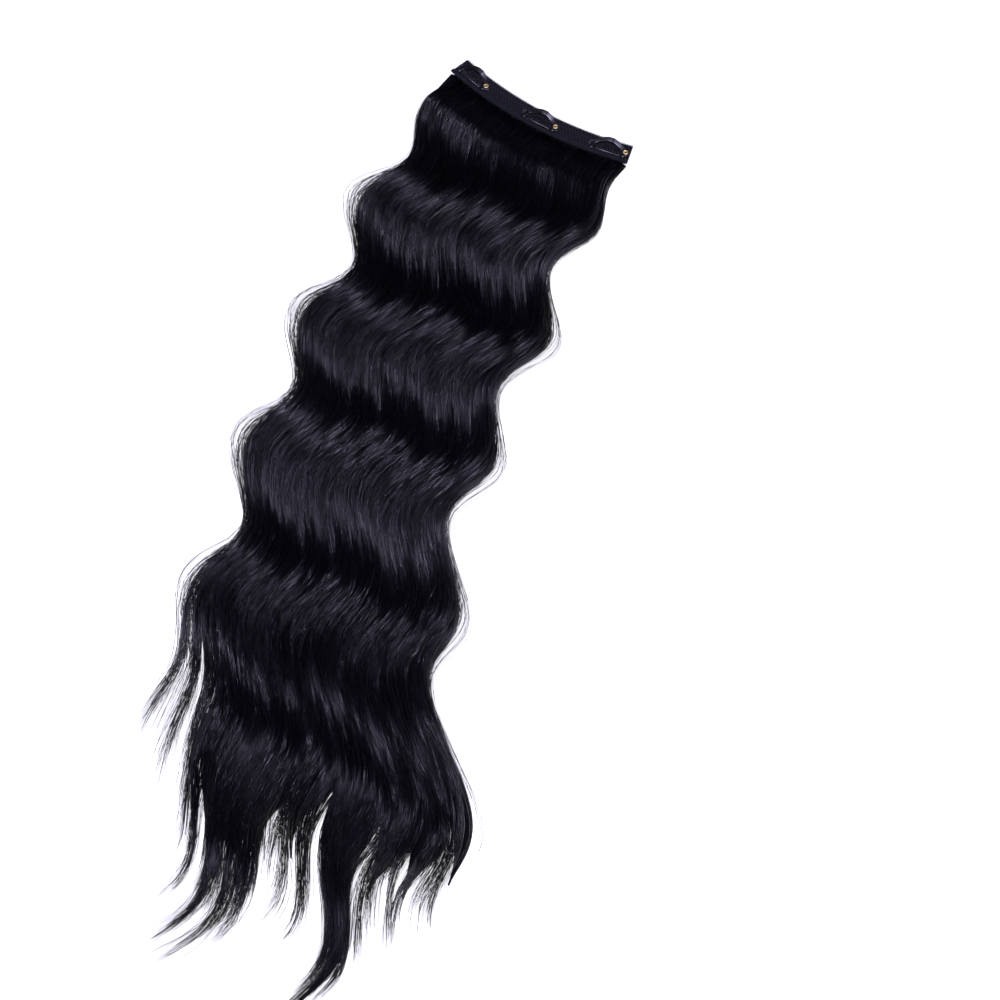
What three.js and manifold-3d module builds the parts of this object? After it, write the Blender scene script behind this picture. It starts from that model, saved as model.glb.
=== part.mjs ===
// A clip-in hair extension: one weft of long wavy hair on a lace strip with three snap combs.
// It lies on a flat surface with its clips up. Millimetres, +Z up, +X along the strip, hair towards -Y.
// The origin is on that surface, under the middle of the strip.
import * as THREE from "three";
import { mergeVertices } from "three/addons/utils/BufferGeometryUtils.js";
import Module from "manifold-3d";

const wasm = await Module();
wasm.setup();

// Strip: a lace band over the sewn head of the hair, with a folded hem tape on its lower margin
const STRIP_LENGTH = 153;
const STRIP_WIDTH = 17;
const STRIP_BOW = 10;
const LACE_THICKNESS = 0.9;
const PICOT_PITCH = 2.2;
const PICOT_DEPTH = 0.8;
const HEM_WIDTH = 3.3;
const HEM_THICKNESS = 0.8;
const CLEARANCE = 0.3;

// Hair: its sewn head, and the flow that every lock follows
const HEAD_THICKNESS = 2.4;
const HEAD_INSET = 2.5;
const HEAD_MARGIN = 1;
const ROOT_DEPTH = 2.5;
const ROOT_HEIGHT = 2;
const ROOT_RISE = 36;
const HAIR_LENGTH = 630;
const HAIR_LEAN = 210;
const HAIR_THICKNESS = 10;
const WAVE_LENGTH = 101.5;
const WAVE_DEPTH = 20;
const FIRST_WAVE = 83;
const WAVE_SKEW = 24;
const LOCK_WIDTH = 26;
const LOCK_TIP_WIDTH = 5;
const LOCK_TIP_HEIGHT = 2;

// Snap clips
const CLIP_LENGTH = 32;
const END_MARGIN = 0.5;
const SHEET_THICKNESS = 0.6;
const LOOP_DIAMETER = 5.4;
const LOOP_HOLE = 2.6;
const PAD_DIAMETER = 6.4;
const ARCH_WIDTH = 3.6;
const ARCH_END_WIDTH = 2.6;
const ARCH_BOW = 6.6;
const ARCH_RISE = 1.5;
const SPINE_WIDTH = 2.2;
const SPINE_DROP = 3.3;
const EAR_WIDTH = 3.2;
const EAR_CHAMFER = 0.6;
const RIM_OVERLAP = 0.6;
const TOOTH_PITCH = 2.1;
const TOOTH_WIDTH = 0.9;
const TOOTH_MARGIN = 1.2;
const TOOTH_CLEARANCE = 0.5;
const HINGE_ROOM = 0.8;
const BARREL_DIAMETER = 2;
const BARREL_HOLE = 1.3;
const FLANGE_DIAMETER = 4;
const FLANGE_THICKNESS = 0.6;

// The flow of the hair. at is a share of the hair's length; lean, wave, spread and thick are shares of
// HAIR_LEAN, WAVE_DEPTH, half the strip's length and HAIR_THICKNESS.
const FLOW = [
  { at: 0, lean: 0, wave: 0, spread: 1, thick: 0.8 },
  { at: 0.03, lean: 0.005, wave: 0.25, spread: 0.995, thick: 0.9 },
  { at: 0.085, lean: 0.023, wave: 0.75, spread: 0.985, thick: 1 },
  { at: 0.157, lean: 0.053, wave: 1, spread: 0.98, thick: 1 },
  { at: 0.304, lean: 0.152, wave: 1, spread: 0.98, thick: 1 },
  { at: 0.46, lean: 0.257, wave: 1, spread: 0.98, thick: 0.95 },
  { at: 0.63, lean: 0.468, wave: 1, spread: 1.09, thick: 0.9 },
  { at: 0.71, lean: 0.615, wave: 0.93, spread: 1.26, thick: 0.87 },
  { at: 0.785, lean: 0.785, wave: 0.85, spread: 1.43, thick: 0.85 },
  { at: 0.86, lean: 0.915, wave: 0.78, spread: 1.22, thick: 0.78 },
  { at: 0.93, lean: 0.965, wave: 0.7, spread: 1.16, thick: 0.7 },
  { at: 1, lean: 0.985, wave: 0.7, spread: 1.16, thick: 0.5 },
];

// The locks, from the left end. across is a share of half the strip, reach of HAIR_LENGTH, wide and veer
// (how far the tip bends aside) of LOCK_WIDTH, tall of the flow's thickness, late of WAVE_LENGTH.
const LOCKS = [
  { across: -0.86, reach: 0.905, wide: 0.85, veer: -0.7, tall: 0.8, late: 0 },
  { across: -0.645, reach: 0.985, wide: 1, veer: -0.75, tall: 1, late: 0.02 },
  { across: -0.43, reach: 0.985, wide: 1.05, veer: -0.85, tall: 0.88, late: 0.07 },
  { across: -0.215, reach: 0.94, wide: 1.05, veer: -0.85, tall: 1.06, late: 0 },
  { across: 0, reach: 0.905, wide: 1, veer: -0.6, tall: 0.92, late: -0.08 },
  { across: 0.215, reach: 0.965, wide: 1.1, veer: 0.15, tall: 1.06, late: -0.02 },
  { across: 0.43, reach: 0.89, wide: 1, veer: 0.2, tall: 0.88, late: 0.07 },
  { across: 0.645, reach: 0.865, wide: 1.05, veer: 0.15, tall: 1.04, late: 0 },
  { across: 0.86, reach: 0.835, wide: 0.85, veer: 0.2, tall: 0.8, late: -0.05 },
];

// A lock's section, from its lower left corner round: side is a share of its width, up of its height.
const LOCK_SECTION = [
  { side: -0.5, up: 0 },
  { side: 0.5, up: 0 },
  { side: 0.43, up: 0.55 },
  { side: 0.17, up: 1 },
  { side: -0.17, up: 1 },
  { side: -0.43, up: 0.55 },
];

// The clips along the strip: along is a share of CLIP_REACH from its middle.
const CLIPS = [
  { number: 1, along: -1 },
  { number: 2, along: 0.065 },
  { number: 3, along: 1 },
];
const TAPER_START = 0.78;
const TAPER_POWER = 1.4;
const CREST_LIFT = 0.3;
const STATIONS_PER_WAVE = 6;
const BAND_STEPS = 18;
const ROUND_STEPS = 16;
const ARCH_STEPS = 10;

// Levels and seats that follow from the sizes above
const STRIP_RADIUS = STRIP_LENGTH ** 2 / (8 * STRIP_BOW);
const LOWER_EDGE = -STRIP_WIDTH / 2;
const UPPER_EDGE = STRIP_WIDTH / 2;
const HEM_TOP_EDGE = LOWER_EDGE + HEM_WIDTH;
const LACE_LEVEL = HEAD_THICKNESS + CLEARANCE;
const TOP_OF_LACE = LACE_LEVEL + LACE_THICKNESS;
const CLIP_LEVEL = TOP_OF_LACE + CLEARANCE;
const ROOT_EDGE = LOWER_EDGE + ROOT_DEPTH;
const END_TURN = STRIP_LENGTH / 2 / STRIP_RADIUS;
const SPINE_OUTER = SPINE_DROP + SPINE_WIDTH / 2;
const SPINE_INNER = SPINE_DROP - SPINE_WIDTH / 2;
const CLIP_SEAT = HEM_TOP_EDGE + HINGE_ROOM + SPINE_OUTER;
const CLIP_REACH = (STRIP_LENGTH - CLIP_LENGTH) / 2 - END_MARGIN;
const PAD_HOLE = BARREL_DIAMETER + 2 * CLEARANCE;
const LOOP_CENTRE = -CLIP_LENGTH / 2 + LOOP_DIAMETER / 2;
const PAD_CENTRE = CLIP_LENGTH / 2 - PAD_DIAMETER / 2;
const LEFT_EAR_FACE = LOOP_CENTRE + earReach(LOOP_DIAMETER);
const RIGHT_EAR_FACE = PAD_CENTRE - earReach(PAD_DIAMETER);

const materials = {
  hair: { color: 0x0b0b10, roughness: 0.4, metalness: 0 },
  lace: { color: 0x14151f, roughness: 0.85, metalness: 0 },
  hem: { color: 0x171824, roughness: 0.8, metalness: 0 },
  clip: { color: 0x0c0d10, roughness: 0.22, metalness: 0.6 },
  rivet: { color: 0xd9b777, roughness: 0.3, metalness: 1 },
};

// How far an ear's side face stands from its disc's centre, so that the spine's end clears the disc
function earReach(diameter) {
  const reach = diameter / 2 + CLEARANCE;
  return Math.sqrt(Math.max(reach ** 2 - SPINE_INNER ** 2, (EAR_WIDTH / 2) ** 2));
}

// A named mesh with a material of its own
function piece(name, geometry, finish) {
  const mesh = new THREE.Mesh(geometry, new THREE.MeshStandardMaterial(materials[finish]));
  mesh.name = name;
  return mesh;
}

function toSolid(geometry) {
  const bare = geometry.clone();
  bare.deleteAttribute("normal");
  bare.deleteAttribute("uv");
  const merged = mergeVertices(bare);
  const vertProperties = merged.attributes.position.array;
  const triVerts = new Uint32Array(merged.index.array);
  return new wasm.Manifold(new wasm.Mesh({ numProp: 3, vertProperties, triVerts }));
}

function toGeometry(solid) {
  const mesh = solid.getMesh();
  const geometry = new THREE.BufferGeometry();
  geometry.setAttribute("position", new THREE.BufferAttribute(new Float32Array(mesh.vertProperties), 3));
  geometry.setIndex(new THREE.BufferAttribute(new Uint32Array(mesh.triVerts), 1));
  geometry.computeVertexNormals();
  return geometry;
}

// Joins several geometries into one closed body
function joined(geometries) {
  const solids = geometries.map(toSolid);
  return toGeometry(solids.reduce((whole, next) => whole.add(next)));
}

// A plate of even thickness cut to a plan outline, standing on the level given
function plate(shape, thickness, level, curveSegments = BAND_STEPS) {
  const options = { depth: thickness, bevelEnabled: false, curveSegments };
  return new THREE.ExtrudeGeometry(shape, options).translate(0, 0, level);
}

// A closed body through rings of [x, y, z] points that turn anticlockwise about the way it runs
function loft(rings) {
  const sides = rings[0].length;
  const index = [];
  for (let ring = 0; ring < rings.length - 1; ring += 1) {
    for (let side = 0; side < sides; side += 1) {
      const a = ring * sides + side;
      const b = ring * sides + ((side + 1) % sides);
      index.push(a, b, b + sides, a, b + sides, a + sides);
    }
  }
  const last = (rings.length - 1) * sides;
  for (let side = 1; side < sides - 1; side += 1) {
    index.push(0, side + 1, side);
    index.push(last, last + side, last + side + 1);
  }
  const geometry = new THREE.BufferGeometry();
  geometry.setAttribute("position", new THREE.Float32BufferAttribute(rings.flat(2), 3));
  geometry.setIndex(index);
  return geometry;
}

// The plan point that lies a distance along the strip's bowed middle line and a height above it
function stripPoint(along, height) {
  const turn = along / STRIP_RADIUS;
  const radius = STRIP_RADIUS - height;
  return new THREE.Vector2(radius * Math.sin(turn), STRIP_RADIUS - radius * Math.cos(turn));
}

// The plan outline of a band that follows the strip, with an optional row of picots along its top
function bandOutline(low, high, inset, picots = false) {
  const shape = new THREE.Shape();
  const half = STRIP_LENGTH / 2 - inset;
  const turn = half / STRIP_RADIUS;
  const down = -Math.PI / 2;
  shape.absarc(0, STRIP_RADIUS, STRIP_RADIUS - low, down - turn, down + turn, false);
  if (!picots) {
    shape.absarc(0, STRIP_RADIUS, STRIP_RADIUS - high, down + turn, down - turn, true);
    return shape;
  }
  const count = Math.round((2 * half) / PICOT_PITCH);
  const step = (2 * half) / count;
  for (let picot = 0; picot < count; picot += 1) {
    const valley = stripPoint(half - picot * step, high - PICOT_DEPTH);
    const peak = stripPoint(half - (picot + 0.5) * step, high);
    shape.lineTo(valley.x, valley.y);
    shape.lineTo(peak.x, peak.y);
  }
  const corner = stripPoint(-half, high - PICOT_DEPTH);
  shape.lineTo(corner.x, corner.y);
  return shape;
}

// A column of the flow table at a share of the hair's length, on a smooth curve through its rows
function flow(share, column) {
  const next = Math.max(1, FLOW.findIndex((row) => row.at >= Math.min(share, 1)));
  const rows = [next - 2, next - 1, next, next + 1].map((i) => FLOW[Math.min(Math.max(i, 0), FLOW.length - 1)]);
  const [before, from, to, after] = rows;
  const span = to.at - from.at;
  const slopeFrom = ((to[column] - before[column]) / (to.at - before.at)) * span;
  const slopeTo = ((after[column] - from[column]) / (after.at - from.at)) * span;
  const s = (share - from.at) / span;
  const rise = s * s * (3 - 2 * s);
  const leave = s * (1 - s) * (1 - s) * slopeFrom;
  const arrive = s * s * (1 - s) * slopeTo;
  return from[column] + (to[column] - from[column]) * rise + leave - arrive;
}

// One lock of hair: its flat-bottomed section carried down the flow, tapering to a bent tip
function lockGeometry(lock) {
  const root = stripPoint((lock.across * STRIP_LENGTH) / 2, ROOT_EDGE);
  const length = lock.reach * HAIR_LENGTH;
  const underLace = ROOT_DEPTH + CLEARANCE + (LOCK_WIDTH / 2) * Math.tan(END_TURN);
  const crest = FIRST_WAVE - (WAVE_SKEW * (lock.across + 1)) / 2 + lock.late * WAVE_LENGTH;
  const count = Math.round(((length - underLace) * STATIONS_PER_WAVE) / WAVE_LENGTH);
  const drops = [0];
  for (let station = 0; station <= count; station += 1) {
    drops.push(underLace + ((length - underLace) * station) / count);
  }
  const rings = drops.map((drop) => {
    const share = drop / HAIR_LENGTH;
    const wave = flow(share, "wave");
    const spread = flow(share, "spread");
    const phase = (2 * Math.PI * (drop - crest)) / WAVE_LENGTH;
    const taper = Math.max(0, (drop / length - TAPER_START) / (1 - TAPER_START)) ** TAPER_POWER;
    const swell = THREE.MathUtils.smoothstep(drop, underLace, underLace + ROOT_RISE);
    const sway = (WAVE_DEPTH / 2) * wave * Math.cos(phase);
    const aside = lock.veer * LOCK_WIDTH * taper;
    const x = root.x * spread + HAIR_LEAN * flow(share, "lean") + sway + aside;
    const width = THREE.MathUtils.lerp(lock.wide * LOCK_WIDTH * spread, LOCK_TIP_WIDTH, taper);
    const crestHeight = 1 + CREST_LIFT * wave * Math.sin(phase);
    const body = HAIR_THICKNESS * flow(share, "thick") * lock.tall * crestHeight;
    const risen = THREE.MathUtils.lerp(ROOT_HEIGHT, body, swell);
    const height = THREE.MathUtils.lerp(risen, LOCK_TIP_HEIGHT, taper);
    return LOCK_SECTION.map(({ side, up }) => [x + side * width, root.y - drop, up * height]);
  });
  return loft(rings);
}

// The hair: every lock fused to the flat head in which its roots are sewn
function makeHair() {
  const outline = bandOutline(LOWER_EDGE + HEAD_MARGIN, UPPER_EDGE - HEAD_INSET, HEAD_MARGIN);
  const head = plate(outline, HEAD_THICKNESS, 0);
  return piece("hair", joined([head, ...LOCKS.map(lockGeometry)]), "hair");
}

function makeLaceBand() {
  const outline = bandOutline(LOWER_EDGE, UPPER_EDGE, 0, true);
  return piece("lace_band", plate(outline, LACE_THICKNESS, LACE_LEVEL), "lace");
}

function makeHemTape() {
  const outline = bandOutline(LOWER_EDGE, HEM_TOP_EDGE, 0);
  return piece("hem_tape", plate(outline, HEM_THICKNESS, TOP_OF_LACE + CLEARANCE), "hem");
}

function disc(centre, diameter, hole) {
  const shape = new THREE.Shape();
  shape.absarc(centre, 0, diameter / 2, 0, 2 * Math.PI, false);
  const opening = new THREE.Path();
  opening.absarc(centre, 0, hole / 2, 0, 2 * Math.PI, true);
  shape.holes.push(opening);
  return plate(shape, SHEET_THICKNESS, 0, ROUND_STEPS);
}

// The arch bar's middle line: how far it stands off the line between loop and rivet, and its slope
const archMiddle = (LOOP_CENTRE + PAD_CENTRE) / 2;
const archReach = (PAD_CENTRE - LOOP_CENTRE) / 2;
const archHeight = (along) => ARCH_BOW * (1 - ((along - archMiddle) / archReach) ** 2);
const archSlope = (along) => (-2 * ARCH_BOW * (along - archMiddle)) / archReach ** 2;

// How far from a disc's centre the bar begins, so that it lies in the rim however steep it is there
const rimReach = (hole) => (hole / 2 + RIM_OVERLAP) / Math.hypot(1, archSlope(LOOP_CENTRE));

// The arch bar: a flat strip bowed in plan and slightly domed, from the loop's rim to the pad's rim
function archBar() {
  const start = LOOP_CENTRE + rimReach(LOOP_HOLE);
  const end = PAD_CENTRE - rimReach(PAD_HOLE);
  const rings = [];
  for (let station = 0; station <= ARCH_STEPS; station += 1) {
    const along = start + ((end - start) * station) / ARCH_STEPS;
    const slope = archSlope(along);
    const swell = Math.sin((Math.PI * station) / ARCH_STEPS);
    const width = THREE.MathUtils.lerp(ARCH_END_WIDTH, ARCH_WIDTH, swell);
    const offset = width / Math.hypot(1, slope);
    const dome = ARCH_RISE * swell ** 2;
    const corner = (side, up) => [
      along - side * offset * slope,
      archHeight(along) + side * offset,
      dome + up * SHEET_THICKNESS,
    ];
    rings.push([corner(-0.5, 0), corner(0.5, 0), corner(0.5, 1), corner(-0.5, 1)]);
  }
  return loft(rings);
}

// An ear below a disc, whose straight side face carries one end of the comb's spine
function ear(face, away, hole) {
  const shape = new THREE.Shape();
  const left = Math.min(face, face + away * EAR_WIDTH);
  const right = left + EAR_WIDTH;
  const low = -SPINE_OUTER;
  const high = -hole / 2 - RIM_OVERLAP;
  shape.moveTo(left, low + EAR_CHAMFER);
  shape.lineTo(left + EAR_CHAMFER, low);
  shape.lineTo(right - EAR_CHAMFER, low);
  shape.lineTo(right, low + EAR_CHAMFER);
  shape.lineTo(right, high);
  shape.lineTo(left, high);
  shape.closePath();
  return plate(shape, SHEET_THICKNESS, 0);
}

function makeFrame(number) {
  const parts = [
    disc(LOOP_CENTRE, LOOP_DIAMETER, LOOP_HOLE),
    disc(PAD_CENTRE, PAD_DIAMETER, PAD_HOLE),
    ear(LEFT_EAR_FACE, -1, LOOP_HOLE),
    ear(RIGHT_EAR_FACE, 1, PAD_HOLE),
    archBar(),
  ];
  return piece(`clip_frame_${number}`, joined(parts), "clip");
}

// The comb: a straight spine between the two ears, with teeth that reach towards the arch bar
function makeComb(number) {
  const left = LEFT_EAR_FACE + CLEARANCE;
  const right = RIGHT_EAR_FACE - CLEARANCE;
  const gaps = Math.floor((right - left - 2 * TOOTH_MARGIN) / TOOTH_PITCH);
  const half = TOOTH_WIDTH / 2;
  const shape = new THREE.Shape();
  shape.moveTo(left, -SPINE_OUTER);
  shape.lineTo(right, -SPINE_OUTER);
  shape.lineTo(right, -SPINE_INNER);
  for (let tooth = gaps; tooth >= 0; tooth -= 1) {
    const along = (left + right) / 2 + (tooth - gaps / 2) * TOOTH_PITCH;
    const slope = Math.abs(archSlope(along));
    const innerEdge = archHeight(along) - (ARCH_WIDTH / 2) * Math.hypot(1, slope);
    const tip = innerEdge - TOOTH_CLEARANCE - half * slope;
    shape.lineTo(along + half, -SPINE_INNER);
    shape.lineTo(along + half, tip - half);
    shape.lineTo(along + half / 3, tip);
    shape.lineTo(along - half / 3, tip);
    shape.lineTo(along - half, tip - half);
    shape.lineTo(along - half, -SPINE_INNER);
  }
  shape.lineTo(left, -SPINE_INNER);
  shape.closePath();
  return piece(`clip_comb_${number}`, plate(shape, SHEET_THICKNESS, 0), "clip");
}

// The hollow rivet through the pad: a barrel with a rounded flange on top, turned about its own axis
function makeRivet(number) {
  const barrel = BARREL_DIAMETER / 2;
  const hole = BARREL_HOLE / 2;
  const rim = FLANGE_DIAMETER / 2;
  const under = SHEET_THICKNESS + CLEARANCE;
  const top = under + FLANGE_THICKNESS;
  const soft = FLANGE_THICKNESS / 3;
  const profile = [
    [hole, 0],
    [barrel, 0],
    [barrel, under],
    [rim, under],
    [rim, top - soft],
    [rim - soft, top],
    [hole + soft, top],
    [hole, top - soft],
    [hole, 0],
  ].map(([radius, height]) => new THREE.Vector2(radius, height));
  const turned = new THREE.LatheGeometry(profile, ROUND_STEPS).rotateX(Math.PI / 2);
  return piece(`clip_rivet_${number}`, turned.translate(PAD_CENTRE, 0, 0), "rivet");
}

// A whole clip on its seat on the lace, turned to follow the strip there
function makeClip(number, share) {
  const along = share * CLIP_REACH;
  const seat = stripPoint(along, CLIP_SEAT);
  const clip = new THREE.Group();
  clip.add(makeFrame(number), makeComb(number), makeRivet(number));
  clip.position.set(seat.x, seat.y, CLIP_LEVEL);
  clip.rotation.z = along / STRIP_RADIUS;
  return clip;
}

const extension = new THREE.Group();
extension.add(makeHair(), makeLaceBand(), makeHemTape());
for (const { number, along } of CLIPS) {
  extension.add(makeClip(number, along));
}

export default extension;
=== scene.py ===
# A clip-in hair extension: one weft of long wavy hair on a lace strip with three snap clips.
# Sizes in the dictionaries are millimetres; putMesh turns them into metres.
import math

import bpy
import numpy as np
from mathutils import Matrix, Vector


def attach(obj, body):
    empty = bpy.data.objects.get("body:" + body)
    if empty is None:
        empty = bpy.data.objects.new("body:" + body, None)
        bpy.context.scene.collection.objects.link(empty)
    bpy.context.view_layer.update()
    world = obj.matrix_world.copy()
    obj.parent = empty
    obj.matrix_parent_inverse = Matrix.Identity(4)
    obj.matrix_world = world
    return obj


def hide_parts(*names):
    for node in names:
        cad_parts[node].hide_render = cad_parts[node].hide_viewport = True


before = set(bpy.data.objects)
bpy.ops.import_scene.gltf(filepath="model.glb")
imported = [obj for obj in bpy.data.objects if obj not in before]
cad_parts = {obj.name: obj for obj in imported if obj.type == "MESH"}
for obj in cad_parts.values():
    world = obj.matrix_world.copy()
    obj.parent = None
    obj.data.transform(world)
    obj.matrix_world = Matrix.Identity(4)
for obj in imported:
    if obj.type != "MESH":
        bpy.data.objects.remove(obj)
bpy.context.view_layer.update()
rng = np.random.default_rng(7)
fullTurn = 2 * math.pi

# the photograph's angle and framing, in metres
view = {"place": (0.3947, -0.6490, 0.9606), "aim": (0.1485, -0.2748, 0.0), "lens": 57.6}


def makeCamera():
    data = bpy.data.cameras.new("camera")
    data.lens, data.sensor_width = view["lens"], 36
    data.clip_start, data.clip_end = 0.05, 20
    camera = bpy.data.objects.new("camera", data)
    bpy.context.scene.collection.objects.link(camera)
    camera.location = view["place"]
    look = Vector(view["aim"]) - camera.location
    camera.rotation_euler = look.to_track_quat("-Z", "Y").to_euler()
    bpy.context.scene.camera = camera


makeCamera()
print("camera placed")


# One mesh from whole arrays: points (n, 3) in millimetres, faces as index arrays (count, corners),
# and for each of them its corners' places (count * corners, 2) in the UV map "along".
def putMesh(name, points, faces, uv, tone=None, smooth=True):
    mesh = bpy.data.meshes.new(name)
    mesh.vertices.add(len(points))
    mesh.vertices.foreach_set("co", (np.asarray(points) * 0.001).astype(np.float32).ravel())
    corners = np.concatenate([f.ravel() for f in faces]).astype(np.int32)
    counts = np.concatenate([np.full(len(f), f.shape[1]) for f in faces])
    mesh.loops.add(len(corners))
    mesh.loops.foreach_set("vertex_index", corners)
    mesh.polygons.add(len(counts))
    mesh.polygons.foreach_set("loop_start", (np.cumsum(counts) - counts).astype(np.int32))
    mesh.polygons.foreach_set("use_smooth", np.full(len(counts), smooth))
    layer = mesh.uv_layers.new(name="along")
    layer.data.foreach_set("uv", np.concatenate(uv).astype(np.float32).ravel())
    if tone is not None:
        shade = mesh.attributes.new("tone", "FLOAT", "POINT")
        shade.data.foreach_set("value", tone.astype(np.float32).ravel())
    mesh.update(calc_edges=True)
    made = bpy.data.objects.new(name, mesh)
    bpy.context.scene.collection.objects.link(made)
    return made


# Quads from each ring of points[tube, station, side] to the next, round every side; an open tube
# gets a cap at each end. The UV runs round the ring and on along it, 1 for each 10 mm.
def tubeFaces(points, loop=False):
    tubes, stations, sides = points.shape[:3]
    numbers = np.arange(tubes * stations * sides).reshape(tubes, stations, sides)
    onward = np.roll(numbers, -1, axis=1) if loop else numbers[:, 1:]
    here = numbers if loop else numbers[:, :-1]
    quads = np.stack([here, np.roll(here, -1, axis=2), np.roll(onward, -1, axis=2), onward], axis=-1)
    step = np.linalg.norm(np.diff(points.mean(2), axis=1), axis=-1)
    far = np.concatenate([np.zeros((tubes, 1)), np.cumsum(step, axis=1)], axis=1)
    if loop:
        close = far[:, -1:] + np.linalg.norm(points[:, -1].mean(1) - points[:, 0].mean(1), axis=-1)[:, None]
        far = np.concatenate([far, close], axis=1)
    run = np.broadcast_to(far[:, :-1, None], here.shape) / 10
    runOn = np.broadcast_to(far[:, 1:, None], here.shape) / 10
    around = np.broadcast_to(np.arange(sides) / sides, here.shape)
    corners = [(around, run), (around + 1 / sides, run), (around + 1 / sides, runOn), (around, runOn)]
    uv = [np.stack([np.stack(corner, -1) for corner in corners], axis=-2).reshape(-1, 2)]
    faces = [quads.reshape(-1, 4)]
    if not loop:
        for cap in (numbers[:, 0, ::-1], numbers[:, -1]):
            faces.append(cap)
            uv.append(np.zeros((cap.size, 2)))
    return faces, uv


# One mesh from several arrays of rings, each points[tube, station, side, xyz]
def putTubes(name, groups, tones=None, loop=False):
    points, faces, uv, tone, start = [], [], [], [], 0
    for number, group in enumerate(groups):
        groupFaces, groupUv = tubeFaces(group, loop)
        faces += [f + start for f in groupFaces]
        uv += groupUv
        points.append(group.reshape(-1, 3))
        start += len(points[-1])
        if tones is not None:
            tone.append(np.broadcast_to(tones[number][:, None, None], group.shape[:3]).ravel())
    tone = np.concatenate(tone) if tones is not None else None
    return putMesh(name, np.concatenate(points), faces, uv, tone)


# Rings along path[tube, station]: point = path + wide * across * side + high * rise * up, where side is
# square to the path and to up, and rise is square to both.
def sweep(path, wide, high, section, up=(0, 0, 1), loop=False):
    if loop:
        ahead = np.roll(path, -1, axis=1) - np.roll(path, 1, axis=1)
    else:
        ahead = np.gradient(path, axis=1)
    ahead = ahead / np.maximum(np.linalg.norm(ahead, axis=-1, keepdims=True), 1e-9)
    side = np.cross(np.broadcast_to(np.asarray(up, float), ahead.shape), ahead)
    side = side / np.maximum(np.linalg.norm(side, axis=-1, keepdims=True), 1e-9)
    rise = np.cross(ahead, side)
    wide = np.broadcast_to(wide, path.shape[:2])[..., None, None]
    high = np.broadcast_to(high, path.shape[:2])[..., None, None]
    across = wide * section[:, :1] * side[:, :, None]
    upward = high * section[:, 1:] * rise[:, :, None]
    return path[:, :, None] + across + upward


# A circle of radius 1: the cosine and sine of evenly spaced angles
def roundSection(sides, start=0.25):
    angle = fullTurn * (np.arange(sides) / sides + start)
    return np.stack([np.cos(angle), np.sin(angle)], -1)


# A rounded rectangle of half size 1: the cosine and sine of the angle, each raised to 2 / power
def softBox(sides, power=4.0):
    angle = fullTurn * (np.arange(sides) + 0.5) / sides
    return np.stack([np.sign(c) * np.abs(c) ** (2 / power) for c in (np.cos(angle), np.sin(angle))], -1)


def smooth(value, low, high):
    share = np.clip((value - low) / (high - low), 0, 1)
    return share * share * (3 - 2 * share)


def mix(a, b, share):
    return a + (b - a) * share


# x, y and z arrays made the same shape and put together as points
def spots(x, y, z):
    return np.stack(np.broadcast_arrays(x, y, z), -1)


strip = {"length": 153, "bow": 10}
stripRadius = strip["length"] ** 2 / (8 * strip["bow"])


# The point a distance along the strip's arc and across it: radius R - across, turned by along / R
def stripPoint(along, across, level):
    turn = along / stripRadius
    radius = stripRadius - across
    return spots(radius * np.sin(turn), stripRadius - radius * np.cos(turn), level)


# The flow that every lock follows: lean, wave, spread and thick are shares of the sizes in hair
hair = {
    "length": 630, "lean": 210, "thickness": 10, "lockWidth": 26,
    "wave": 101.5, "depth": 20, "firstWave": 83, "skew": 24,
    "rootEdge": -6, "rootHeight": 2, "rootStart": 8, "rootRise": 26,
    "taperStart": 0.74, "taperPower": 1.25,
    "crestLift": 0.4, "lowLift": 0.42, "hump": 2.8, "humpAt": 28, "humpWide": 15,
}
flowRows = {
    "at": np.array([0, 0.03, 0.085, 0.157, 0.304, 0.46, 0.63, 0.71, 0.785, 0.86, 0.93, 1]),
    "lean": np.array([0, 0.005, 0.023, 0.053, 0.152, 0.257, 0.468, 0.615, 0.785, 0.915, 0.965, 0.985]),
    "wave": np.array([0, 0.25, 0.75, 1, 1, 1, 1, 0.93, 0.85, 0.78, 0.7, 0.7]),
    "spread": np.array([1, 0.995, 0.985, 0.98, 0.98, 0.98, 1.09, 1.26, 1.43, 1.22, 1.16, 1.16]),
    "thick": np.array([0.8, 0.9, 1, 1, 1, 0.95, 0.9, 0.87, 0.85, 0.78, 0.7, 0.5]),
}
locks = {
    "across": np.array([-0.86, -0.645, -0.43, -0.215, 0, 0.215, 0.43, 0.645, 0.86]),
    "reach": np.array([0.905, 0.985, 0.985, 0.94, 0.905, 0.965, 0.89, 0.865, 0.835]),
    "wide": np.array([0.85, 1, 1.05, 1.05, 1, 1.1, 1, 1.05, 0.85]),
    "veer": np.array([-0.7, -0.75, -0.85, -0.85, -0.6, 0.15, 0.2, 0.15, 0.2]),
    "tall": np.array([0.8, 1, 0.88, 1.06, 0.92, 1.06, 0.88, 1.04, 0.8]),
    "late": np.array([0, 0.02, 0.07, 0, -0.08, -0.02, 0.07, 0, -0.05]),
    "thinFrom": np.array([0.72, 0.8, 0.8, 0.81, 0.82, 0.75, 0.83, 0.84, 0.84]),
    "thinOver": np.array([0.14, 0.12, 0.12, 0.12, 0.12, 0.26, 0.12, 0.12, 0.12]),
    "gatherFrom": np.array([0.8, 0.83, 0.83, 0.84, 0.86, 0.77, 0.86, 0.87, 0.87]),
    "gatherPower": np.array([1.4, 1.4, 1.4, 1.4, 1.4, 0.8, 1.4, 1.4, 1.4]),
    "fan": np.array([1.5, 1.1, 1.1, 1.2, 1.2, 0.15, 1.1, 1.1, 1.1]),
    "sweep": np.array([0, 0, 0, -2, -4, 0, -9, -8, -9]),
}
lockCount = len(locks["across"])
longLock = 5


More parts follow.
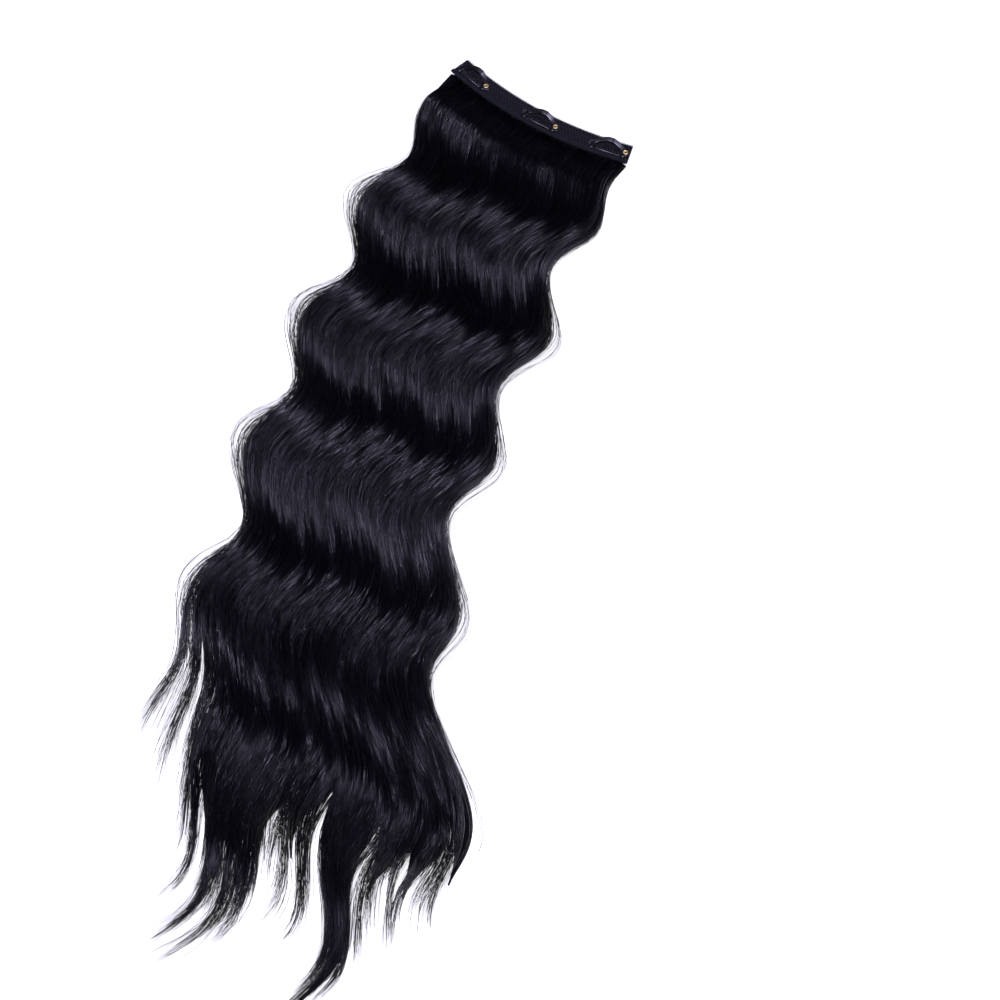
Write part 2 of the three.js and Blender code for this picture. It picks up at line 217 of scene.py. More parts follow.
# A column of flowRows on a cubic through its rows, with slopes from the rows on either side
def flow(share, column):
    at, value = flowRows["at"], flowRows[column]
    share = np.clip(share, 0, 1)
    to = np.clip(np.searchsorted(at, share), 1, len(at) - 1)
    start = to - 1
    before, after = np.maximum(start - 1, 0), np.minimum(to + 1, len(at) - 1)
    span = at[to] - at[start]
    leave = (value[to] - value[before]) / (at[to] - at[before]) * span
    arrive = (value[after] - value[start]) / (at[after] - at[start]) * span
    s = (share - at[start]) / span
    return (value[start] + (value[to] - value[start]) * s * s * (3 - 2 * s)
            + s * (1 - s) ** 2 * leave - s * s * (1 - s) * arrive)


# A lock's middle line: x = root * spread + lean + depth / 2 * wave * cosine of the phase, and its
# height = thickness * (1 + lift * sine of the phase), so the crests lie where the hair runs back left,
# with a low hump under the strip. The lift grows by lowLift in the lower part.
# late shifts the whole wave down, and rise moves the crests alone, both in wavelengths.
def lockLine(lock, drop, late=0.0, sway=1.0, rise=0.0):
    across, reach = locks["across"][lock], locks["reach"][lock]
    root = stripPoint(across * strip["length"] / 2, hair["rootEdge"], 0.0)
    share = drop / hair["length"]
    wave, spread = flow(share, "wave"), flow(share, "spread")
    crest = hair["firstWave"] - hair["skew"] * (across + 1) / 2 + (locks["late"][lock] + late) * hair["wave"]
    phase = fullTurn * (drop - crest) / hair["wave"]
    taper = np.maximum(0, (drop / (reach * hair["length"]) - hair["taperStart"]) / (1 - hair["taperStart"]))
    taper = np.minimum(taper, 1.1) ** hair["taperPower"]
    x = root[..., 0] * spread + hair["lean"] * flow(share, "lean")
    x = x + hair["depth"] / 2 * wave * sway * np.cos(phase)
    body = hair["thickness"] * flow(share, "thick") * locks["tall"][lock]
    lift = hair["crestLift"] + hair["lowLift"] * smooth(share, 0.5, 0.72)
    body = body * (1 + lift * wave * np.sin(phase + fullTurn * rise))
    body = mix(hair["rootHeight"], body, smooth(drop, hair["rootStart"], hair["rootStart"] + hair["rootRise"]))
    body = body + hair["hump"] * np.exp(-((drop - hair["humpAt"]) / hair["humpWide"]) ** 2)
    return {"x": x, "y": root[..., 1], "aside": locks["veer"][lock] * hair["lockWidth"] * taper,
            "width": locks["wide"][lock] * hair["lockWidth"] * spread, "height": body}


# The top of the hair across a lock: nearly level between neighbours, and a rounded fall at the weft's edges
def crossShape(lock, side):
    outer = np.where(lock == 0, side < 0, np.where(lock == lockCount - 1, side > 0, False))
    inside = np.clip(np.abs(2 * side), 0, 0.99)
    return np.where(outer, (1 - inside ** 3) ** 0.6, 1 - 0.2 * inside ** 3)


dense = {"stations": 128, "sides": 18, "tall": 0.84, "wide": 0.96, "endTall": 0.15, "endWide": 0.04, "floor": 0.1}


# The dense inside of each lock: a flat-bottomed dome swept down its line and closed to a point before the
# lock's end, and the flat head that the roots are sewn in.
def makeUnderHair():
    lock = np.arange(lockCount)[:, None]
    thinFrom, thinOver = locks["thinFrom"][lock], locks["thinOver"][lock]
    share = np.linspace(0, 1, dense["stations"])[None] * (thinFrom + thinOver)
    drop = share * locks["reach"][lock] * hair["length"]
    line = lockLine(lock, drop)
    thin = 1 - smooth(share, thinFrom, thinFrom + thinOver)
    side = np.linspace(-0.5, 0.5, dense["sides"] - 2)
    width = (line["width"] * dense["wide"] * mix(dense["endWide"], 1, thin))[..., None]
    dome = line["height"][..., None] * dense["tall"] * crossShape(lock[..., None], side)
    top = dense["floor"] + dome * mix(dense["endTall"], 1, thin)[..., None]
    x, y = (line["x"] + line["aside"])[..., None], (line["y"] - drop)[..., None]
    lower = spots(x + width * np.array([0.49, -0.49]), y, dense["floor"])
    upper = spots(x + width * side, y, top)
    body = np.concatenate([upper, lower], axis=2)
    head = sweep(stripPoint(np.linspace(-75, 75, 90)[None], -0.75, 1.25), 6.5, 1.15, softBox(16, 5))
    return putTubes("under_hair", [body, head])


# thin is a strand's half width; a share "sunk" of them lie at "under" of the lock's height, the rest at "onTop"
strands = {"pieces": 4, "perPiece": 550, "stations": 50, "thin": 0.17, "varies": (0.75, 1.35),
           "sunk": 0.25, "under": (0.6, 0.93), "onTop": (0.93, 1.05), "lowest": 0.25, "widest": 0.499}
clumps = {"perLock": 5, "tipPlace": 12, "tipSpread": 7.0, "tipLoose": 1.6, "shortest": 0.9,
          "late": 0.018, "rise": 0.03}
wisps = {"perLock": 34, "late": 0.010, "rise": 0.05, "lift": 0.18}
threeSides = np.array([[0.0, 1.0], [-0.87, -0.5], [0.87, -0.5]])


# Every lock parts into clumps, each with its place across, its reach, its tip's place and its own timing
def planClumps():
    shape = (lockCount, clumps["perLock"])
    place = np.linspace(-0.4, 0.4, clumps["perLock"])[None] + rng.normal(0, 0.025, shape)
    reach = rng.uniform(clumps["shortest"], 1.0, shape)
    reach[np.arange(lockCount), rng.integers(1, clumps["perLock"] - 1, lockCount)] = 1.0
    tip = np.linspace(-1, 1, clumps["perLock"])[None] * clumps["tipSpread"] + rng.normal(0, 2.5, shape)
    follow = np.clip(rng.normal(1.0, 0.12, shape), 0.7, 1.2)
    follow[0], reach[0, 0] = [2.7, 1.3, 1.0, 0.8, 0.5], 0.925   # the left lock's outer clump makes its wisp
    follow[longLock], reach[longLock] = 1.0, [0.97, 0.98, 1.0, 0.98, 0.97]   # it stays whole to its point
    return {"place": place, "reach": reach, "tip": tip * locks["fan"][:, None], "follow": follow,
            "late": rng.normal(0, clumps["late"], shape), "rise": rng.normal(0, clumps["rise"], shape)}


clump = planClumps()
wispShape = (lockCount, wisps["perLock"])
wisp = {"late": rng.normal(0, wisps["late"], wispShape), "rise": rng.normal(0, wisps["rise"], wispShape),
        "lift": rng.normal(0, wisps["lift"], wispShape), "shade": rng.random(wispShape)}


# Drops down a strand, set closer where the waves bend most
def bendDrops(count):
    drop = np.linspace(0, hair["length"], 1200)
    line = lockLine(np.array([4]), drop[None])
    turn = np.abs(np.gradient(np.arctan(np.gradient(line["x"][0], drop))))
    weight = np.cumsum(0.45 / len(drop) + 0.55 * turn / turn.sum())
    return np.interp(np.linspace(weight[0], weight[-1], count), weight, drop)


# Drops for each strand from its start down to its own end
def strandDrops(starts, ends, stations):
    base = bendDrops(400)
    number = np.arange(400.0)
    first, last = np.interp(starts, base, number), np.interp(ends, base, number)
    return np.interp(mix(first, last, np.linspace(0, 1, stations)[None]), number, base)


# A slow random drift down each strand: random values at a few places, joined by a smooth step
def wander(count, drop, steps, size):
    value = rng.normal(0, size, (count, steps + 2))
    place = drop / hair["length"] * steps
    low = np.clip(np.floor(place).astype(int), 0, steps)
    share = smooth(place - low, 0, 1)
    row = np.arange(count)[:, None]
    return mix(value[row, low], value[row, low + 1], share) * np.minimum(1, drop / 60)


# Strands down the locks: a place across the lock that closes in on the clump's tip, a height just on
# or a little under the lock's top, a slow drift, and an end between shortest and just past the clump's end.
def strandRings(lock, group, side, start=0.0, lift=0.0, bob=0.12, drift=1.0, thin=1.0,
                stations=strands["stations"], shortest=0.66):
    count = len(lock)
    full = locks["reach"][lock] * clump["reach"][lock, group] * hair["length"]
    ends = full * np.clip(1.02 - rng.exponential(0.07, (count, 1)), shortest, 1.03)
    drop = strandDrops(np.broadcast_to(start * full, ends.shape), ends, stations)
    slip = np.clip(((side + 0.5) * wisps["perLock"]).astype(int), 0, wisps["perLock"] - 1)
    grown = smooth(drop, 40, 200)
    late = (clump["late"][lock, group] + wisp["late"][lock, slip]) * grown + wander(count, drop, 5, 0.008) * drift
    rise = clump["rise"][lock, group] + wisp["rise"][lock, slip] + wander(count, drop, 5, 0.03)
    line = lockLine(lock, drop, late, 1 + rng.normal(0, 0.03, (count, 1)) * drift, rise)
    gatherFrom = locks["gatherFrom"][lock]
    gather = np.clip((drop / full - gatherFrom) / (1 - gatherFrom), 0, 1) ** locks["gatherPower"][lock]
    loose = rng.standard_t(3, (count, 1)) * clumps["tipLoose"] * locks["fan"][lock]
    tip = clump["place"][lock, group] * clumps["tipPlace"] + clump["tip"][lock, group]
    tip = tip + locks["sweep"][lock] + loose
    offset = mix(side * line["width"], tip, gather) + line["aside"] * clump["follow"][lock, group]
    offset = offset + wander(count, drop, 6, 0.7) * (drift + 0.8 * gather)
    depth = np.where(rng.random((count, 1)) < strands["sunk"],
                     rng.uniform(*strands["under"], (count, 1)), rng.uniform(*strands["onTop"], (count, 1)))
    height = line["height"] * crossShape(lock, np.clip(side, -0.49, 0.49)) * depth
    tipHeight = 0.5 + 2.2 * rng.random((count, 1))
    height = mix(height, tipHeight, smooth(gather, 0.15, 1.0)) + wander(count, drop, 5, bob) + lift
    height = height + wisp["lift"][lock, slip] * np.minimum(1, drop / 60)
    path = spots(line["x"] + offset, line["y"] - drop, np.maximum(height, strands["lowest"]))
    end = 1 - np.linspace(0, 1, stations)[None]
    radius = strands["thin"] * thin * rng.uniform(*strands["varies"], (count, 1))
    radius = radius * (0.3 + 0.7 * np.minimum(1, end / 0.08))
    return sweep(path, radius, radius * 0.85, threeSides)


def makeStrands(number):
    count = strands["perPiece"]
    lock = rng.choice(lockCount, (count, 1), p=locks["wide"] / locks["wide"].sum())
    group = rng.integers(0, clumps["perLock"], (count, 1))
    side = clump["place"][lock, group] + rng.uniform(-0.13, 0.13, (count, 1))
    side = np.clip(side, -strands["widest"], strands["widest"])
    slip = ((side + 0.5) * wisps["perLock"]).astype(int)
    tone = 0.6 * wisp["shade"][lock, slip][:, 0] + 0.4 * rng.random(count)
    return putTubes(f"hair_strands_{number}", [strandRings(lock, group, side)], [tone])


ends = {"count": 1900, "stations": 15, "from": 0.74, "fromOver": 0.06, "thin": 0.9, "lift": -0.8, "shortest": 0.86}


# More strands in the last quarter alone, which come out from under the mass and fan out at the tips
def makeEnds():
    count = ends["count"]
    lock = rng.integers(0, lockCount, (count, 1))
    group = rng.integers(0, clumps["perLock"], (count, 1))
    side = clump["place"][lock, group] + rng.uniform(-0.14, 0.14, (count, 1))
    side = np.clip(side, -strands["widest"], strands["widest"])
    start = ends["from"] + rng.uniform(0, ends["fromOver"], (count, 1))
    rings = strandRings(lock, group, side, start=start, lift=ends["lift"], thin=ends["thin"],
                        stations=ends["stations"], shortest=ends["shortest"])
    return putTubes("hair_ends", [rings], [rng.random(count)])


# lanes are distances off the edge in lock widths, and laneShares how many of the strands take each
fringe = {"left": 40, "right": 24, "over": 84, "stations": 60,
          "lanes": (0.08, 0.18, 0.28, 0.38, 0.5), "laneShares": (0.25, 0.25, 0.22, 0.16, 0.12)}


# Single strands: some that stand off the weft's two edges in a few loose lanes, most where a wave bulges
# outwards, and some that cross over it
def makeFringe():
    count = fringe["left"] + fringe["right"]
    lock = np.where(np.arange(count)[:, None] < fringe["left"], 0, lockCount - 1)
    group = np.where(lock == 0, rng.integers(0, 3, (count, 1)), rng.integers(2, 5, (count, 1)))
    outward = np.where(lock == 0, -1.0, 1.0)
    start = outward * rng.uniform(0.36, 0.47, (count, 1))
    lane = rng.choice(fringe["lanes"], (count, 1), p=fringe["laneShares"]) + rng.normal(0, 0.008, (count, 1))
    away = outward * lane * locks["wide"][lock] * hair["lockWidth"]
    edge = strandRings(lock, group, start, drift=1.3, thin=0.8, stations=fringe["stations"], shortest=0.55)
    drop = -edge[..., :1, 1]
    crest = hair["firstWave"] - hair["skew"] * (locks["across"][lock] + 1) / 2
    bulge = 0.5 + 0.5 * outward[..., None] * np.cos(fullTurn * (drop - crest[..., None]) / hair["wave"])
    edge[..., 0] += away[..., None] * smooth(drop, 10, 150) * (0.45 + 0.75 * bulge)
    lock = rng.integers(0, lockCount, (fringe["over"], 1))
    group = rng.integers(0, clumps["perLock"], (fringe["over"], 1))
    side = rng.uniform(-0.4, 0.4, (fringe["over"], 1))
    over = strandRings(lock, group, side, lift=0.9, bob=0.5, drift=3.8, thin=0.7,
                       stations=fringe["stations"], shortest=0.4)
    return putTubes("hair_fringe", [edge, over], [rng.random(count), 0.6 + 0.4 * rng.random(fringe["over"])])


lace = {"ground": 0.22, "groundLevel": 3.12, "level": 3.36, "thread": 0.2, "cell": 2.7, "slope": 0.62,
        "low": -5.4, "high": 7.7, "picot": 2.0, "picotRise": 1.1, "picotFoot": 7.6, "cord": 0.32}


# The net's thin ground: a rounded flat section swept along the strip's arc
def makeLace():
    along = np.linspace(-1, 1, 150)[None] * (strip["length"] / 2 - 0.1)
    line = stripPoint(along, -0.35, lace["groundLevel"])
    return putTubes("lace_ground", [sweep(line, 8.1, lace["ground"], softBox(28, 8))])


# Two sets of slanting threads that cross into diamonds, each at an even slope from the hem to the top
# edge, with a cord under the picots, a finer one below it and a thread down each end.
def makeNet():
    half, low, high, slope = strip["length"] / 2 - 0.4, lace["low"], lace["high"], lace["slope"]
    groups = []
    for way, lift in ((1, 0.03), (-1, -0.03)):
        start = np.arange(-half - (high - low) * slope, half + (high - low) * slope, lace["cell"])[:, None]
        share = np.linspace(0, 1, 10)[None]
        along = start + way * share * (high - low) * slope
        keep = (along.max(1) < half + 0.5) & (along.min(1) > -half - 0.5)
        line = stripPoint(along, mix(low, high, share), lace["level"] + lift)[keep]
        groups.append(sweep(line, lace["thread"], lace["thread"], roundSection(4)))
    along = np.linspace(-half, half, 120)[None]
    cords = stripPoint(along, np.array([[7.55], [3.6]]), np.array([[3.4], [3.38]]))
    groups.append(sweep(cords, np.array([[lace["cord"]], [0.17]]), np.array([[0.26], [0.14]]), roundSection(8)))
    sides = stripPoint(np.array([[-half], [half]]), np.linspace(-8.2, 7.6, 24)[None], 3.38)
    groups.append(sweep(sides, 0.34, 0.24, roundSection(8)))
    return putTubes("lace_net", groups)


# The row of small loops on the top edge: half circles that stand off the arc
def makePicots():
    count = int(round(strip["length"] / lace["picot"]))
    middle = ((np.arange(count) + 0.5) / count - 0.5)[:, None] * (strip["length"] - 0.6)
    angle = np.linspace(-0.1, math.pi + 0.1, 9)[None]
    along = middle + np.cos(angle) * lace["picot"] * 0.36
    line = stripPoint(along, lace["picotFoot"] + np.sin(angle) * lace["picotRise"], lace["level"])
    return putTubes("lace_picots", [sweep(line, 0.24, 0.2, roundSection(5))])


hem = {"half": 1.65, "middle": -6.85, "low": 3.5, "high": 4.6, "rows": (-5.75, -7.75), "stitch": 2.5}


# The folded tape: a low rounded ridge with a shallow groove down its middle, swept along the lower margin
def makeHem():
    along = np.linspace(-1, 1, 170)[None] * (strip["length"] / 2)
    angle = np.linspace(0, math.pi, 19)
    rise = np.sin(angle) ** 0.6 - 0.16 * np.exp(-(np.cos(angle) / 0.16) ** 2)
    ridge = np.stack([np.cos(angle) * hem["half"], mix(hem["low"] + 0.1, hem["high"], rise)], -1)
    section = np.concatenate([ridge, [[-1.5, hem["low"]], [1.5, hem["low"]]]])
    return putTubes("hem_ridge", [sweep(stripPoint(along, hem["middle"], 0.0), 1.0, 1.0, section)])


# Two rows of short stitches sunk into the tape, each a small arch along the row
def makeHemStitches():
    groups = []
    for across in hem["rows"]:
        count = int(strip["length"] / hem["stitch"]) - 1
        middle = ((np.arange(count) + 0.5) / count - 0.5)[:, None] * (strip["length"] - 2)
        share = np.linspace(-1, 1, 7)[None]
        level = hem["high"] - 0.2 + 0.22 * (1 - share ** 2)
        groups.append(sweep(stripPoint(middle + share * 0.95, across, level), 0.17, 0.15, roundSection(5)))
    return putTubes("hem_stitches", groups)


# bank tips the arch bar's face a little towards the strip's top edge
clip = {
    "places": {1: -60, 2: 3.9, 3: 60}, "level": 3.9, "sheet": 0.6,
    "loopX": -13.3, "padX": 12.8, "hole": 1.3, "loopRadius": 2.7, "padRadius": 3.2,
    "bow": 6.6, "rise": 1.5, "bar": 3.6, "barEnd": 2.6, "bank": -0.1,
    "spineLeft": -10.96, "spineRight": 9.78, "spineLow": -4.4, "spineHigh": -2.2,
    "earMiddle": (1.9, -2.9), "earHalf": (1.55, 1.6), "tooth": 0.9, "toothPitch": 2.1,
}


# Clip coordinates onto the strip: turned by along / R and moved to the arc's point there
def seatClip(points, number):
    along = clip["places"][number]
    turn = along / stripRadius
    seat = stripPoint(along, 0.0, clip["level"])
    cos, sin = math.cos(turn), math.sin(turn)
    x, y = points[..., 0], points[..., 1]
    return spots(x * cos - y * sin, x * sin + y * cos, points[..., 2]) + seat


# A flat ring: a rounded section carried round a circle
def ringBody(x, inner, outer, level, half, steps=44):
    angle = np.linspace(0, fullTurn, steps, endpoint=False)[None]
    middle = (inner + outer) / 2
    line = spots(x + middle * np.cos(angle), middle * np.sin(angle), level)
    return sweep(line, (outer - inner) / 2, half, softBox(14, 3.2), loop=True)


# A small plate with eased edges: a rounded outline stacked in rings that shrink at the top and bottom
def plateBody(middle, halfX, halfY, level, half, edge=0.14, corner=3.5, sides=28):
    outline = softBox(sides, corner)
    rings = []
    for rise, inset in ((-1, edge), (-0.62, 0.02), (0.62, 0.0), (1, edge)):
        flat = np.array(middle) + outline * [halfX - inset, halfY - inset]
        rings.append(np.concatenate([flat, np.full((sides, 1), level + rise * half)], -1))
    return np.stack(rings)[None]


# The arch bar's middle line stands off the line between loop and rivet by a parabola
def archHeight(along):
    middle, reach = (clip["loopX"] + clip["padX"]) / 2, (clip["padX"] - clip["loopX"]) / 2
    return clip["bow"] * (1 - ((along - middle) / reach) ** 2)


# Loop ring and pad ring, two ears, and the arch bar: a flat strip along the parabola that domes upwards
def makeClipFrame():
    half = clip["sheet"] / 2
    rings = [ringBody(clip["loopX"], clip["hole"], clip["loopRadius"], half, half),
             ringBody(clip["padX"], clip["hole"], clip["padRadius"], half, half)]
    share = np.linspace(0, 1, 44)[None]
    swell = np.sin(math.pi * share)
    along = mix(clip["loopX"] + 1.34, clip["padX"] - 1.34, share)
    line = spots(along, archHeight(along), half + clip["rise"] * np.sin(math.pi * share ** 0.8) ** 2)
    wide = mix(clip["barEnd"], clip["bar"], swell) / 2
    bars = [sweep(line, wide, half, softBox(22, 9), up=(0, clip["bank"], 1))]
    away, y = clip["earMiddle"]
    for x in (clip["spineLeft"] - away, clip["spineRight"] + away):
        bars.append(plateBody((x, y), *clip["earHalf"], half, half))
    return rings, bars


# The spine plate and its row of teeth, each a narrow bar that narrows to a rounded tip under the arch
def makeClipComb():
    half = clip["sheet"] / 2
    left, right, low, high = (clip[key] for key in ("spineLeft", "spineRight", "spineLow", "spineHigh"))
    groups = [plateBody(((left + right) / 2, (low + high) / 2), (right - left) / 2, (high - low) / 2,
                        half, half, edge=0.16, corner=14, sides=64)]
    gaps = int((right - left - 2.4) / clip["toothPitch"])
    along = (left + right) / 2 + (np.arange(gaps + 1) - gaps / 2) * clip["toothPitch"]
    slope = np.abs(2 * clip["bow"] * (along + 0.25) / 13.05 ** 2)
    tip = archHeight(along) - clip["bar"] / 2 * np.hypot(1, slope) - 0.5 - 0.45 * slope
    share = np.linspace(0, 1, 9)[None]
    line = spots(along[:, None], mix(high - 0.5, tip[:, None], share), half)
    fine = np.sqrt(np.clip(1 - np.clip((share - 0.72) / 0.28, 0, 0.985) ** 2, 0.02, 1))
    groups.append(sweep(line, clip["tooth"] / 2 * fine, half * (0.5 + 0.5 * fine), softBox(10, 3)))
    return groups


rivet = {"hole": 0.66, "barrel": 0.98, "curlMiddle": 1.42, "curlWide": 0.56, "curlLevel": 1.18, "curlHigh": 0.3}


# The hollow rivet: a closed profile of barrel and curled rim carried round the pad's middle
def makeRivet():
    curl = np.linspace(-0.5 * math.pi, math.pi, 12)
    rim = np.stack([rivet["curlMiddle"] + rivet["curlWide"] * np.cos(curl),
                    rivet["curlLevel"] + rivet["curlHigh"] * np.sin(curl)], -1)
    barrel = [[rivet["hole"], 0.0], [rivet["barrel"], 0.0], [rivet["barrel"], 0.9]]
    profile = np.concatenate([barrel, rim, [[rivet["hole"] + 0.02, 0.95]]])
    angle = np.linspace(0, fullTurn, 40, endpoint=False)[:, None]
    points = spots(clip["padX"] + profile[:, 0] * np.cos(angle), profile[:, 0] * np.sin(angle), profile[:, 1])
    return points[None, :, ::-1]


sewing = {"loops": 8, "first": -8.6, "last": 8.6, "thick": 0.23}


# Sewing loops over the comb's spine: half ellipses square to it
def makeCombThreads():
    along = np.linspace(sewing["first"], sewing["last"], sewing["loops"])[:, None]
    angle = np.linspace(0.0, math.pi, 9)[None]
    high = 0.1 + 0.72 * np.abs(np.sin(angle)) ** 0.8
    line = spots(along + 0.25 * np.cos(angle), -3.3 + 1.32 * np.cos(angle), high)
    return sweep(line, sewing["thick"], 0.17, roundSection(6), up=(1, 0, 0))


# Sewing loops through the loop ring
def makeLoopThreads():
    turn = np.radians([110, 140, 170, 200, 230])[:, None]
    angle = np.linspace(-0.15, math.pi + 0.15, 9)[None]
    reach = 2.0 + 0.95 * np.cos(angle)
    line = spots(clip["loopX"] + reach * np.cos(turn), reach * np.sin(turn), 0.05 + 0.7 * np.sin(angle))
    return sweep(line, 0.2, 0.17, roundSection(6), up=(0.3, 0.2, 0.05))


# Two turns of dark thread over the arch bar's middle
def makeArchThreads():
    angle = np.linspace(0, math.pi, 13)[None]
    high = 1.3 + 1.0 * np.abs(np.sin(angle)) ** 0.5
    over = spots(np.array([[1.0], [1.4]]), 6.55 + 2.0 * np.cos(angle), high)
    return sweep(over, 0.24, 0.18, roundSection(6), up=(1, 0, 0))


# A shader group with named inputs (label, kind, first value) and outputs (label, kind)
def newGroup(name, inputs, outputs):
    group = bpy.data.node_groups.new(name, "ShaderNodeTree")
    for label, kind, value in inputs:
        socket = group.interface.new_socket(label, in_out="INPUT", socket_type="NodeSocket" + kind)
        if value is not None:
            socket.default_value = value
    for label, kind in outputs:
        group.interface.new_socket(label, in_out="OUTPUT", socket_type="NodeSocket" + kind)
    return group, group.nodes.new("NodeGroupInput"), group.nodes.new("NodeGroupOutput")


# Inputs given as values or as other nodes' outputs, by label or as i and a number
def feed(tree, made, given):
    for key, value in given.items():
        numbered = key[0] == "i" and key[1:].isdigit()
        socket = made.inputs[int(key[1:]) if numbered else key.replace("_", " ")]
        if isinstance(value, bpy.types.NodeSocket):
            tree.links.new(value, socket)
        else:
            socket.default_value = value
    return made


def node(tree, kind, settings=None, **given):
    made = tree.nodes.new("ShaderNode" + kind)
    for key, value in (settings or {}).items():
        setattr(made, key, value)
    return feed(tree, made, given)


# Fine lines that run along a fibre: noise on coordinates stretched across it
def makeStreakGroup():
    inputs = [("Vector", "Vector", None), ("Across", "Float", 60.0), ("Along", "Float", 0.4)]
    group, given, out = newGroup("fineStreaks", inputs, [("Value", "Float")])
    split = node(group, "SeparateXYZ", i0=given.outputs["Vector"])
    across = node(group, "Math", {"operation": "MULTIPLY"}, i0=split.outputs[0], i1=given.outputs["Across"])
    along = node(group, "Math", {"operation": "MULTIPLY"}, i0=split.outputs[1], i1=given.outputs["Along"])
    spot = node(group, "CombineXYZ", i0=across.outputs[0], i1=along.outputs[0])
    noise = node(group, "TexNoise", Vector=spot.outputs[0], Scale=1.0, Detail=3.0, Roughness=0.6)
    group.links.new(noise.outputs[0], out.inputs["Value"])
    return group


# Handling marks on hard finishes: short scratches times a soft cloudiness, on Object coordinates
def makeWearGroup():
    inputs = [("Vector", "Vector", None), ("Base Roughness", "Float", 0.2), ("Amount", "Float", 0.15)]
    group, given, out = newGroup("handlingMarks", inputs, [("Roughness", "Float"), ("Height", "Float")])
    stretch = node(group, "Mapping", Vector=given.outputs["Vector"], Scale=(900, 4200, 900),
                   Rotation=(0, 0, 0.5))
    scratch = node(group, "TexNoise", Vector=stretch.outputs[0], Scale=1.0, Detail=2.0)
    cloud = node(group, "TexNoise", Vector=given.outputs["Vector"], Scale=420.0, Detail=3.0)
    both = node(group, "Math", {"operation": "MULTIPLY"}, i0=scratch.outputs[0], i1=cloud.outputs[0])
    scaled = node(group, "Math", {"operation": "MULTIPLY_ADD"}, i0=both.outputs[0], i1=given.outputs["Amount"],
                  i2=given.outputs["Base Roughness"])
    group.links.new(scaled.outputs[0], out.inputs["Roughness"])
    group.links.new(both.outputs[0], out.inputs["Height"])
    return group


# Crossed yarns: two sine waves at right angles on Object coordinates, with a little fuzz
def makeWeaveGroup():
    inputs = [("Vector", "Vector", None), ("Pitch", "Float", 0.0006), ("Fuzz", "Float", 0.3)]
    group, given, out = newGroup("yarnWeave", inputs, [("Height", "Float"), ("Shade", "Float")])
    scale = node(group, "Math", {"operation": "DIVIDE"}, i0=fullTurn, i1=given.outputs["Pitch"])
    spot = node(group, "VectorMath", {"operation": "SCALE"}, i0=given.outputs["Vector"])
    group.links.new(scale.outputs[0], spot.inputs["Scale"])
    split = node(group, "SeparateXYZ", i0=spot.outputs[0])
    first = node(group, "Math", {"operation": "SINE"}, i0=split.outputs[0])
    second = node(group, "Math", {"operation": "SINE"}, i0=split.outputs[1])
    cross = node(group, "Math", {"operation": "MULTIPLY"}, i0=first.outputs[0], i1=second.outputs[0])
    noise = node(group, "TexNoise", Vector=given.outputs["Vector"], Scale=2600.0, Detail=2.0)
    fuzz = node(group, "Math", {"operation": "MULTIPLY"}, i0=noise.outputs[0], i1=given.outputs["Fuzz"])
    height = node(group, "Math", {"operation": "MULTIPLY_ADD"}, i0=cross.outputs[0], i1=0.5, i2=fuzz.outputs[0])
    shade = node(group, "MapRange", Value=height.outputs[0], i1=-0.4, i2=0.8)
    group.links.new(height.outputs[0], out.inputs["Height"])
    group.links.new(shade.outputs[0], out.inputs["Shade"])
    return group


effects = {"streaks": makeStreakGroup(), "marks": makeWearGroup(), "weave": makeWeaveGroup()}


def newMaterial(name, **constants):
    made = bpy.data.materials.new(name)
    made.use_nodes = True
    tree = made.node_tree
    shader = tree.nodes["Principled BSDF"]
    for key, value in constants.items():
        shader.inputs[key.replace("_", " ")].default_value = value
    return made, tree, shader


def placeEffect(tree, name, **values):
    made = tree.nodes.new("ShaderNodeGroup")
    made.node_tree = effects[name]
    return feed(tree, made, values)


def colourRamp(tree, value, stops):
    ramp = tree.nodes.new("ShaderNodeValToRGB")
    while len(ramp.color_ramp.elements) < len(stops):
        ramp.color_ramp.elements.new(0.5)
    for element, (place, colour) in zip(ramp.color_ramp.elements, stops):
        element.position, element.color = place, (*colour, 1)
    tree.links.new(value, ramp.inputs[0])
    return ramp.outputs[0]


def bumpFrom(tree, shader, height, strength, distance):
    bump = node(tree, "Bump", Height=height, Strength=strength, Distance=distance)
    tree.links.new(bump.outputs[0], shader.inputs["Normal"])


hairLook = {"dark": (0.001, 0.001, 0.003), "light": (0.005, 0.0045, 0.009), "smooth": 0.16, "dull": 0.4,
            "leastCoat": 0.05, "underDark": (0.001, 0.001, 0.002), "underLight": (0.004, 0.004, 0.006)}


# Each strand's own shade and gloss come from its "tone", broken up by faint streaks along it
def makeStrandMaterial():
    made, tree, shader = newMaterial("glossyHair", IOR=1.5, Specular_IOR_Level=0.25,
                                     Coat_Roughness=0.17, Coat_IOR=1.55)
    tone = node(tree, "Attribute", {"attribute_name": "tone"})
    uv = node(tree, "UVMap", {"uv_map": "along"})
    streak = placeEffect(tree, "streaks", Vector=uv.outputs[0], Across=2.0, Along=1.6)
    blend = node(tree, "Math", {"operation": "MULTIPLY"}, i0=tone.outputs["Fac"], i1=streak.outputs[0])
    stops = [(0.1, hairLook["dark"]), (0.5, hairLook["light"])]
    tree.links.new(colourRamp(tree, blend.outputs[0], stops), shader.inputs["Base Color"])
    rough = node(tree, "MapRange", Value=tone.outputs["Fac"], i3=hairLook["dull"], i4=hairLook["smooth"])
    tree.links.new(rough.outputs[0], shader.inputs["Roughness"])
    gloss = node(tree, "MapRange", Value=blend.outputs[0], i1=0.1, i2=0.5, i3=hairLook["leastCoat"], i4=1.0)
    tree.links.new(gloss.outputs[0], shader.inputs["Coat Weight"])
    return made


